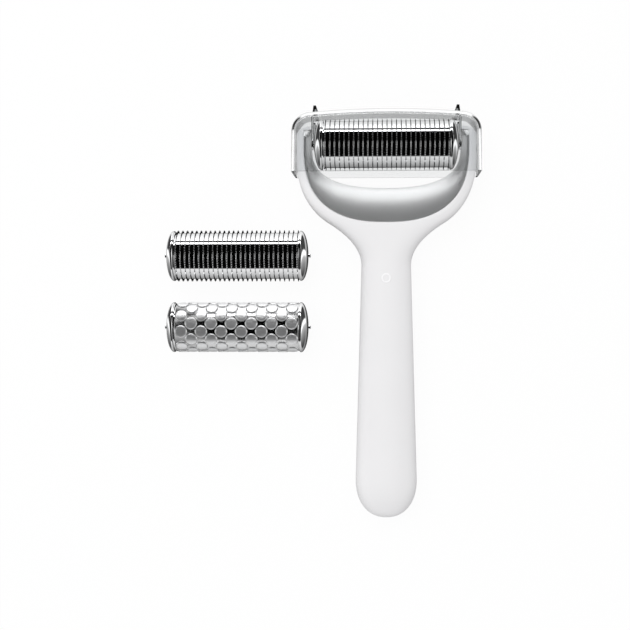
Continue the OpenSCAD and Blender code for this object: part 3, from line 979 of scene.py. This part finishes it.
@dataclass
class Head:
    """What every head has: a shaft, two domed ends and two collars, all along X."""

    prefix: str
    body: str
    half_length: float = 27.55
    dome_depth: float = 3.15
    dome_r: float = 9.7
    dome_rim: float = 0.35
    left_collar: float = 0.9
    collar_r: float = 8.2
    half_ring_r: float = 9.35
    half_ring_t: float = 0.4
    pin_neck_r: float = 1.02
    dome_steps: int = 22
    first_disc: float = -23.1
    disc_pitch: float = 1.8
    disc_count: int = 27
    disc_t: float = 0.3
    end_spacer: float = 0.25
    bore: float = 1.52
    collar_edge: float = 0.06
    notch_deg: float = 7.0
    dome_edge: Plan = (0.1, 0.12)
    dome_turn: float = 84.0

    @property
    def dome_in(self) -> float:
        """Distance from the middle to the flat back of a dome."""
        return self.half_length - self.dome_depth

    @property
    def stack(self) -> Plan:
        """Where the stack between the collars starts and ends."""
        length = (self.disc_count - 1) * self.disc_pitch + self.disc_t + 2 * self.end_spacer
        return -self.dome_in + self.left_collar, -self.dome_in + self.left_collar + length

    def turning(self, segments: int = 128) -> Turning:
        """The tool that turns pieces about this head's shaft."""
        return Turning(node_centre(f"{self.prefix}_shaft"), Axis.X, segments)

    def dome(self, side: int) -> bpy.types.Object:
        """Builds one domed end.

        Args:
            side: -1 for the left end, 1 for the right.
        Returns:
            The dome.
        """
        rise = self.dome_depth - self.dome_rim
        edge_x, edge_r = self.dome_edge
        profile = [(self.dome_in, self.pin_neck_r), (self.dome_in, self.dome_r - edge_r)]
        profile += [(self.dome_in + edge_x, self.dome_r)]
        for i in range(self.dome_steps + 1):
            a = math.radians(self.dome_turn * i / self.dome_steps)
            profile.append((self.dome_in + self.dome_rim + rise * math.sin(a), self.dome_r * math.cos(a)))
        draft = Draft()
        self.turning().lathe(draft, [(side * x, r) for x, r in profile], hollow=True)
        return draft.build(f"{self.prefix}_{'left' if side < 0 else 'right'}_end_dome", sharp_deg=50)

    def collars(self) -> list[bpy.types.Object]:
        """Builds the left collar with its stepped half rings and the notched right one.

        Returns:
            The left and the right collar.
        """
        turning = self.turning(96)
        left, right = -self.dome_in, self.dome_in
        face, bore = left + self.left_collar, self.bore
        draft = Draft()
        turning.lathe(draft, [(left, bore), (left, self.collar_r), (face, self.collar_r), (face, bore)], hollow=True)
        for start, span in ((left, (0, math.pi)), (face - self.half_ring_t, (math.pi, math.tau))):
            loop = rounded_band(start, start + self.half_ring_t, self.collar_r, self.half_ring_r, self.collar_edge)
            turning.half_ring(draft, loop, span)
        stepped = draft.build(f"{self.prefix}_stepped_collar")
        inner, r = self.stack[1], self.half_ring_r
        notch = math.radians(self.notch_deg)
        draft = Draft()
        turning.half_ring(draft, [(inner, bore), (inner, r), (right, r), (right, bore)], (notch, math.tau - notch))
        notched = draft.build(f"{self.prefix}_notched_collar")
        return [stepped, notched]

    def make_ends(self) -> None:
        """Builds and seats the pieces that every head has."""
        for side, name in ((-1, "left"), (1, "right")):
            stand_for(self.dome(side), MIRROR_CHROME, self.body, f"{self.prefix}_{name}_dome")
        for piece, name in zip(self.collars(), ("left", "right")):
            stand_for(piece, MIRROR_CHROME, self.body, f"{self.prefix}_{name}_collar")
        dress_node(f"{self.prefix}_shaft", BUSH_STEEL)


@dataclass
class NeedleHead(Head):
    """A head with a stack of needle discs and chrome spacer rings."""

    spacer_r: float = 8.9
    core_r: float = 6.02
    root_r: float = 8.95
    tip_r: float = 10.1
    needles: int = 60
    needle_base: float = 0.4
    ring_gap: float = 0.01
    ring_edge: float = 0.05

    def discs(self) -> bpy.types.Object:
        """Builds all the needle discs, each needle a slim four-sided spike.

        Returns:
            The discs, as one piece.
        """
        turning = self.turning()
        draft = Draft()
        half_t = self.disc_t / 2
        half_base = math.asin(self.needle_base / 2 / self.root_r)
        for i in range(self.disc_count):
            middle = self.first_disc + i * self.disc_pitch
            angles = [math.tau * (k + i % 2 / 2) / self.needles for k in range(self.needles)]
            flanks = [a + s * half_base for a in angles for s in (-1, 1)]
            near, far, near_in, far_in = (
                draft.row([turning.place(middle + side * half_t, r, a) for a in flanks])
                for r in (self.root_r, self.core_r) for side in (-1, 1))
            tips = draft.row([turning.place(middle, self.tip_r, a) for a in angles])
            draft.bridge(near_in, near, closed=True)
            draft.bridge(far_in, far, closed=True)
            draft.bridge(near_in, far_in, closed=True)
            count = len(flanks)
            for k in range(self.needles):
                a, b, c = 2 * k, 2 * k + 1, (2 * k + 2) % count
                tip = tips[k]
                draft.faces += [(near[a], near[b], tip), (far[b], far[a], tip), (near[a], tip, far[a]),
                                (near[b], far[b], tip), (near[b], near[c], far[c], far[b])]
        return draft.build(f"{self.prefix}_needle_discs", sharp_deg=25)

    def spacers(self) -> bpy.types.Object:
        """Builds the chrome spacer rings between the discs.

        Returns:
            The rings, as one piece.
        """
        turning = self.turning()
        draft = Draft()
        gap, (first, last) = self.ring_gap, self.stack
        starts = [self.first_disc + i * self.disc_pitch + self.disc_t / 2 for i in range(self.disc_count - 1)]
        spans = [(s + gap, s + self.disc_pitch - self.disc_t - gap) for s in starts]
        spans += [(first, first + self.end_spacer), (last - self.end_spacer, last)]
        for start, end in spans:
            turning.lathe(draft, rounded_band(start, end, self.core_r, self.spacer_r, self.ring_edge), hollow=True)
        return draft.build(f"{self.prefix}_spacer_rings")

    def make(self) -> None:
        """Builds and seats the whole head."""
        self.make_ends()
        stand_for(self.discs(), NEEDLE_STEEL, self.body, f"{self.prefix}_discs")
        stand_for(self.spacers(), MIRROR_CHROME, self.body, f"{self.prefix}_spacers")
        dress_node(f"{self.prefix}_core", CORE_PLASTIC)


@dataclass
class MassageHead(Head):
    """A head whose chrome drum is covered with round studs in staggered rows."""

    drum_r: float = 9.15
    stud_tip_r: float = 9.65
    stud_r: float = 2.4
    bevel: float = 0.42
    rows: int = 18
    in_row: int = 6
    pitch: float = 7.745
    middle: float = 0.3
    stud_segments: int = 28
    stud_root: float = 0.5
    stud_soft: float = 0.04
    stud_dips: Point = (0.05, 0.02, 0.005)
    drum_edge: float = 0.12

    def stud(self, draft: Draft, turning: Turning, along: float, angle: float) -> None:
        """Adds one stud that follows the drum's curve.

        Args:
            draft: the mesh that takes it.
            turning: the head's turning tool.
            along: the stud's place along the drum.
            angle: its turn about the drum, in radians.
        """
        crown, r, soft = self.stud_tip_r, self.stud_r, self.stud_soft
        shoulder, top_r = crown - self.bevel, r - self.bevel
        edge_dip, rim_dip, mid_dip = self.stud_dips
        profile = [(r, self.drum_r - self.stud_root), (r, shoulder - soft), (r - soft, shoulder + soft),
                   (top_r + soft, crown - edge_dip), (top_r - 1.5 * soft, crown - rim_dip),
                   (r / 2, crown - mid_dip), (soft, crown)]
        rows = []
        for reach, radius in profile:
            ring = []
            for k in range(self.stud_segments):
                turn = math.tau * k / self.stud_segments
                aside = reach * math.sin(turn) / self.drum_r
                ring.append(turning.place(along + reach * math.cos(turn), radius, angle + aside))
            rows.append(draft.row(ring))
        for a, b in zip(rows, rows[1:]):
            draft.bridge(a, b, closed=True)
        draft.face(rows[0])
        draft.face(rows[-1])

    def drum(self) -> bpy.types.Object:
        """Builds the plain drum under the studs."""
        turning = self.turning()
        draft = Draft()
        turning.lathe(draft, rounded_band(*self.stack, self.bore, self.drum_r, self.drum_edge), hollow=True)
        return draft.build(f"{self.prefix}_plain_drum", sharp_deg=50)

    def studs(self) -> bpy.types.Object:
        """Builds all the studs, in rows that step aside in turn.

        Returns:
            The studs, as one piece.
        """
        turning = self.turning()
        draft = Draft()
        for row in range(self.rows):
            shift = (1 if row % 2 == 0 else -1) * self.pitch / 4
            for i in range(self.in_row):
                along = self.middle + (i - (self.in_row - 1) / 2) * self.pitch + shift
                self.stud(draft, turning, along, math.tau * (row + 0.5) / self.rows)
        return draft.build(f"{self.prefix}_round_studs", sharp_deg=50, merge=1e-5)

    def make(self) -> None:
        """Builds and seats the whole head."""
        self.make_ends()
        stand_for(self.drum(), DRUM_CHROME, self.body, f"{self.prefix}_drum")
        add_to(self.studs(), STUD_CHROME, self.body)


# ---------------------------------------------------------------- cap


@dataclass
class ClearCap:
    """The clear slide-on cap: one moulding with rounded edges, feet and inner ribs."""

    body: str = "cap"
    half_w: float = 35.6
    flare: float = 0.2
    depth: float = 28.0
    wall: float = 0.8
    rise: float = 12.4
    arch: float = 1.2
    shoulder_r: float = 7.2
    top_edge_r: float = 4.0
    side_edge_r: float = 1.8
    rim_drop: float = 11.4
    foot_x: float = 27.1
    foot_h: float = 2.9
    foot_w: float = 1.9
    foot_l: float = 15.0
    rib_t: float = 0.6
    rib_x: float = 27.4
    rib_low: float = -0.8
    rib_clear: float = 5.8
    snap_y: float = -2.3
    ridge_x: float = 34.65
    ridge_tip: float = 0.25
    ridge_foot: float = 1.3
    ridge_l: float = 4.0
    groove_r: float = 0.8
    groove_in: float = 0.25
    groove_l: float = 10.0
    side_steps: int = 10
    shoulder_steps: int = 14
    top_steps: int = 16
    edge_steps: int = 7
    least_r: float = 0.4
    inside_share: float = 0.6
    edge_r: float = 0.3
    sharp_deg: float = 32.0

    def outline(self, inset: float) -> list[Plan]:
        """The front outline from the right rim over the top to the left rim.

        Args:
            inset: how far it lies inside the cap's outside.
        Returns:
            Its points.
        """
        w, top, r = self.half_w - inset, self.rise - inset, self.shoulder_r - inset
        shoulder_y = top - self.arch - r
        right = []
        for i in range(self.side_steps):
            t = i / self.side_steps
            right.append((mix(w + self.flare, w, t), mix(-self.rim_drop, shoulder_y, t)))
        for i in range(self.shoulder_steps + 1):
            a = math.radians(90 * i / self.shoulder_steps)
            right.append((w - r + r * math.cos(a), shoulder_y + r * math.sin(a)))
        for i in range(1, self.top_steps + 1):
            t = i / self.top_steps
            right.append(((w - r) * (1 - t), top - self.arch * (1 - t) ** 2))
        return right + [(-x, y) for x, y in right[-2::-1]]

    def skin(self, draft: Draft, inset: float) -> list[list[int]]:
        """Adds the outer or the inner skin.

        Args:
            draft: the mesh that takes it.
            inset: 0 for the outside, the wall for the inside.
        Returns:
            The rows of points from the back face to the front face.
        """
        line = self.outline(inset)
        near, far = inset, self.depth - inset
        shoulder_y = self.rise - self.arch - self.shoulder_r
        turns = [math.radians(90 * i / self.edge_steps) for i in range(self.edge_steps + 1)]
        levels = [(-1, t) for t in reversed(turns)] + [(1, t) for t in turns]
        rows = []
        for sign, turn in levels:
            row = []
            for i, (x, y) in enumerate(line):
                before, after = line[max(0, i - 1)], line[min(len(line) - 1, i + 1)]
                run = Vector((after[0] - before[0], after[1] - before[1])).normalized()
                out = Vector((run.y, -run.x))
                r = mix(self.side_edge_r, self.top_edge_r, smooth((y - shoulder_y) / self.shoulder_r))
                r = max(self.least_r, r - inset * self.inside_share)
                inward = r * (1 - math.cos(turn))
                deep = r * (1 - math.sin(turn))
                z = near + deep if sign < 0 else far - deep
                at_rim = i in (0, len(line) - 1)
                row.append((x - out.x * inward, y if at_rim else y - out.y * inward, z))
            rows.append(draft.row(row))
        for a, b in zip(rows, rows[1:]):
            draft.bridge(a, b)
        draft.face(rows[0])
        draft.face(rows[-1])
        return rows

    def block(self, draft: Draft, plan: list[Plan], low: float, high: float) -> None:
        """Adds a straight bar of a given plan.

        Args:
            draft: the mesh that takes it.
            plan: its outline.
            low: its lowest height.
            high: its highest height.
        """
        near = draft.row([(x, y, low) for x, y in plan])
        far = draft.row([(x, y, high) for x, y in plan])
        draft.bridge(near, far, closed=True)
        draft.face(near)
        draft.face(far)

    def walls(self) -> bpy.types.Object:
        """Builds the cap's walls and rim.

        Returns:
            The walls.
        """
        draft = Draft()
        outer, inner = self.skin(draft, 0.0), self.skin(draft, self.wall)
        for end in (0, -1):
            for i in range(len(outer) - 1):
                draft.face([outer[i][end], outer[i + 1][end], inner[i + 1][end], inner[i][end]])
        for row in (0, -1):
            draft.face([outer[row][0], outer[row][-1], inner[row][-1], inner[row][0]])
        return draft.build("clear_cap_moulding", sharp_deg=self.sharp_deg)

    def trims(self) -> bpy.types.Object:
        """Builds the two feet on top, the four ribs inside and the two snap ridges.

        Returns:
            The trims, as one tool for the moulding.
        """
        draft = Draft()
        middle = self.depth / 2
        root = self.rise - self.arch - self.wall / 2
        tip = self.rise - self.arch + self.foot_h
        for side in (-1, 1):
            x, w = side * self.foot_x, self.foot_w / 2
            plan = [(x - w, root), (x + w, root), (x + w / 2, tip), (x - w / 2, tip)]
            self.block(draft, plan, middle - self.foot_l / 2, middle + self.foot_l / 2)
            a, b = side * self.rib_x, side * (self.rib_x + self.rib_t)
            high = self.rise - self.arch - self.top_edge_r / 2
            plan = [(a, self.rib_low), (b, self.rib_low), (b, high), (a, high)]
            self.block(draft, plan, self.wall / 2, middle - self.rib_clear)
            self.block(draft, plan, middle + self.rib_clear, self.depth - self.wall / 2)
            a, b = side * (self.half_w - self.wall / 2), side * self.ridge_x
            plan = [(a, self.snap_y - self.ridge_foot), (b, self.snap_y - self.ridge_tip),
                    (b, self.snap_y + self.ridge_tip), (a, self.snap_y + self.ridge_foot)]
            self.block(draft, plan, middle - self.ridge_l / 2, middle + self.ridge_l / 2)
        return draft.build("cap_trims")

    def grooves(self) -> bpy.types.Object:
        """Builds the two round bars that the snap grooves are cut with.

        Returns:
            The bars, as one tool for the moulding.
        """
        draft = Draft()
        x = self.half_w + self.groove_r - self.groove_in
        for side in (-1, 1):
            bar = Turning(Vector((side * x, self.snap_y, self.depth / 2)), Axis.Z, 32)
            half = self.groove_l / 2
            bar.lathe(draft, [(-half, self.groove_r), (half, self.groove_r)])
        return draft.build("cap_grooves")

    def moulding(self) -> bpy.types.Object:
        """Joins walls and trims, cuts the grooves and rounds the edges.

        Returns:
            The whole cap as one closed mesh.
        """
        piece = self.walls()
        tools = ((self.trims(), "UNION"), (self.grooves(), "DIFFERENCE"))
        for tool, kind in tools:
            cut = piece.modifiers.new(kind.lower(), "BOOLEAN")
            cut.operation, cut.object, cut.solver = kind, tool, "EXACT"
            cut.use_self = True
        state = bpy.context.evaluated_depsgraph_get()
        mesh = bpy.data.meshes.new_from_object(piece.evaluated_get(state))
        piece.modifiers.clear()
        piece.data = mesh
        for tool, _ in tools:
            bpy.data.objects.remove(tool)
        mesh.set_sharp_from_angle(angle=math.radians(self.sharp_deg))
        round_edges(piece, self.edge_r, 3)
        return piece

    def make(self) -> None:
        """Builds and seats the cap."""
        stand_for(self.moulding(), CLEAR_PLASTIC, self.body, "clear_cap")


# ---------------------------------------------------------------- studio

# What polished surfaces see: up the picture and down it by a direction's height, and aside
# by a slant that follows the turn about a head's axis
ABOVE_LIGHT: list[Plan] = [
    (-0.97, 0.02), (-0.86, 0.9), (-0.4, 1.1), (0.0, 2.0), (0.15, 2.0), (0.17, 0.02), (0.35, 0.02), (0.37, 5.0),
    (0.46, 5.0), (0.5, 0.001)]
BELOW_LIGHT: list[Plan] = [(-0.97, 0.02), (-0.9, 0.3), (-0.5, 0.55), (0.3, 0.95), (0.4, 0.001)]
ASIDE_LIGHT: list[Plan] = [
    (-0.8, 0.02), (-0.5, 0.12), (-0.25, 0.3), (-0.1, 0.55), (-0.04, 1.3), (0.04, 1.3), (0.08, 0.06), (0.7, 0.04)]
DIFFUSE_LIGHT = (0.7, 0.7, 0.705, 1)
WHITE = (1, 1, 1, 1)


@dataclass
class Studio:
    """Camera, floor, world and lamp."""

    mm_per_px: float = 0.385
    axis_px: Plan = (386.1, 145.0)
    over_px: Plan = (387.0, 313.0)
    frame_px: float = 630.0
    plane_z: float = 14.0
    distance: float = 530.0
    sensor: float = 36.0
    clip: Plan = (0.01, 20.0)
    floor_size: float = 6.0
    floor_tone: float = 0.9
    floor_glow: float = 0.94
    lamp_power: float = 5.0
    lamp_size: float = 0.9
    lamp_place: Point = (-0.25, 0.2, 1.0)
    lamp_aim: Point = (-0.02, -0.06, 0.0)
    turn_over: Plan = (-0.1, 0.1)
    low_from: Plan = (0.6, 0.4)
    wide_from: Plan = (0.42, 0.56)
    aside_lean: float = 0.35
    aside_height: float = 1.05
    aside_scale: float = 0.25

    def plan_point(self, px: Plan) -> Plan:
        """Where a pixel of the photograph lies in plan, in millimetres."""
        return (px[0] - self.axis_px[0]) * self.mm_per_px, (self.axis_px[1] - px[1]) * self.mm_per_px

    def camera(self) -> None:
        """Places the camera above the set."""
        data = bpy.data.cameras.new("camera")
        camera = bpy.data.objects.new("camera", data)
        bpy.context.scene.collection.objects.link(camera)
        x, y = self.plan_point(self.over_px)
        half = self.frame_px / 2
        aim_x, aim_y = self.plan_point((half, half))
        place = Vector((x, y, self.plane_z + self.distance)) * MM
        aim = Vector((aim_x, aim_y, self.plane_z)) * MM
        camera.location = place
        back = (place - aim).normalized()
        right = Vector((0, 1, 0)).cross(back).normalized()
        camera.rotation_euler = Matrix((right, back.cross(right), back)).transposed().to_euler()
        data.sensor_width = self.sensor
        data.lens = (aim - place).length / MM / (self.frame_px * self.mm_per_px) * self.sensor
        data.clip_start, data.clip_end = self.clip
        bpy.context.scene.camera = camera

    def floor(self) -> None:
        """Lays the white table top, which still takes a soft shadow."""
        half = self.floor_size / 2
        mesh = bpy.data.meshes.new("table_top")
        corners = [(-half, -half, 0), (half, -half, 0), (half, half, 0), (-half, half, 0)]
        mesh.from_pydata(corners, [], [(0, 1, 2, 3)])
        top = bpy.data.objects.new("table_top", mesh)
        bpy.context.scene.collection.objects.link(top)
        material = bpy.data.materials.new("table_white")
        material.use_nodes = True
        wiring = Wiring(material.node_tree)
        shader, out = (material.node_tree.nodes[name] for name in ("Principled BSDF", "Material Output"))
        wiring.feed(shader, {
            "Base Color": (self.floor_tone,) * 3 + (1,), "Roughness": 0.9, "Specular IOR Level": 0.0})
        glow = wiring.feed(wiring.add("Emission"), {"Strength": 1.0})
        path = wiring.add("LightPath").outputs
        polished = wiring.sum("MAXIMUM", path["Is Glossy Ray"], path["Is Transmission Ray"])
        seen = wiring.sum("MAXIMUM", path["Is Camera Ray"], polished)
        share = wiring.sum("MULTIPLY", seen, self.floor_glow)
        wiring.feed(out, {"Surface": wiring.blend(share, shader, glow)})
        mesh.materials.append(material)
        top.visible_glossy = False

    @staticmethod
    def ramp(wiring: Wiring, place: bpy.types.NodeSocket, stops: list[Plan]) -> bpy.types.NodeSocket:
        """A ramp of greys over a place, -1 to 1.

        Args:
            wiring: the tree's wiring.
            place: the socket with the place, moved to 0 to 1.
            stops: pairs of place and brightness.
        Returns:
            The socket with the grey.
        """
        node = wiring.add("ValToRGB")
        bar = node.color_ramp
        while len(bar.elements) < len(stops):
            bar.elements.new(0.5)
        for element, (height, light) in zip(bar.elements, stops):
            element.position, element.color = height / 2 + 0.5, (light, light, light, 1)
        return wiring.feed(node, {0: place}).outputs["Color"]

    def world(self) -> None:
        """Bright and dark bands for polished surfaces, by direction, and an even glow for the rest."""
        world = bpy.data.worlds.new("studio")
        bpy.context.scene.world = world
        world.use_nodes = True
        world.cycles.sampling_method = "NONE"
        wiring = Wiring(world.node_tree)
        way = wiring.add("TexCoord").outputs["Generated"]
        parts = wiring.feed(wiring.add("SeparateXYZ"), {0: way}).outputs
        height = wiring.sum("MULTIPLY_ADD", parts["Z"], 0.5, 0.5)
        above = self.ramp(wiring, height, ABOVE_LIGHT)
        below = self.ramp(wiring, height, BELOW_LIGHT)
        aside = self.ramp(wiring, self.slant(wiring, parts), ASIDE_LIGHT)
        bands = wiring.mix(wiring.spread(parts["Y"], self.turn_over), below, above)
        low = wiring.spread(parts["Z"], self.low_from)
        wide = wiring.spread(wiring.sum("ABSOLUTE", parts["X"]), self.wide_from)
        mirror = wiring.mix(wiring.sum("MULTIPLY", low, wide), bands, aside)
        path = wiring.add("LightPath").outputs
        polished = wiring.sum("MAXIMUM", path["Is Glossy Ray"], path["Is Transmission Ray"])
        pick = wiring.mix(polished, DIFFUSE_LIGHT, mirror)
        white = wiring.mix(path["Is Camera Ray"], pick, WHITE)
        wiring.feed(world.node_tree.nodes["Background"], {"Color": white})

    def slant(self, wiring: Wiring, parts: bpy.types.NodeOutputs) -> bpy.types.NodeSocket:
        """Where a direction lies in the aside ramp: its Y over its height, leaning with the height.

        Args:
            wiring: the tree's wiring.
            parts: the sockets with the direction's three parts.
        Returns:
            The socket with the place, 0 to 1.
        """
        over = wiring.sum("ADD", parts["Z"], self.aside_height)
        turn = wiring.sum("DIVIDE", parts["Y"], over)
        lean = wiring.sum("MULTIPLY_ADD", parts["Z"], self.aside_lean, turn)
        return wiring.sum("MULTIPLY_ADD", lean, self.aside_scale, 0.5)

    def lamp(self) -> None:
        """Hangs one wide soft lamp over the set, up and to the left."""
        data = bpy.data.lights.new("soft_lamp", "AREA")
        data.shape, data.size, data.energy = "DISK", self.lamp_size, self.lamp_power
        lamp = bpy.data.objects.new("soft_lamp", data)
        bpy.context.scene.collection.objects.link(lamp)
        lamp.location = self.lamp_place
        towards = Vector(self.lamp_aim) - Vector(self.lamp_place)
        lamp.rotation_euler = towards.to_track_quat("-Z", "Y").to_euler()
        lamp.visible_glossy = lamp.visible_transmission = False

    def make(self) -> None:
        """Sets up the whole studio."""
        self.camera()
        self.floor()
        self.world()
        self.lamp()
        bpy.context.scene.view_settings.view_transform = "Standard"


def main() -> None:
    """Builds the studio and every sub-assembly in order."""
    logging.basicConfig(level=logging.INFO, format="%(name)s: %(message)s")
    Studio().make()
    Handle().make()
    NeedleHead("roller", "roller").make()
    NeedleHead("spare", "spare_head").make()
    MassageHead("massage", "massage_head").make()
    ClearCap().make()


if __name__ == "__main__":
    main()
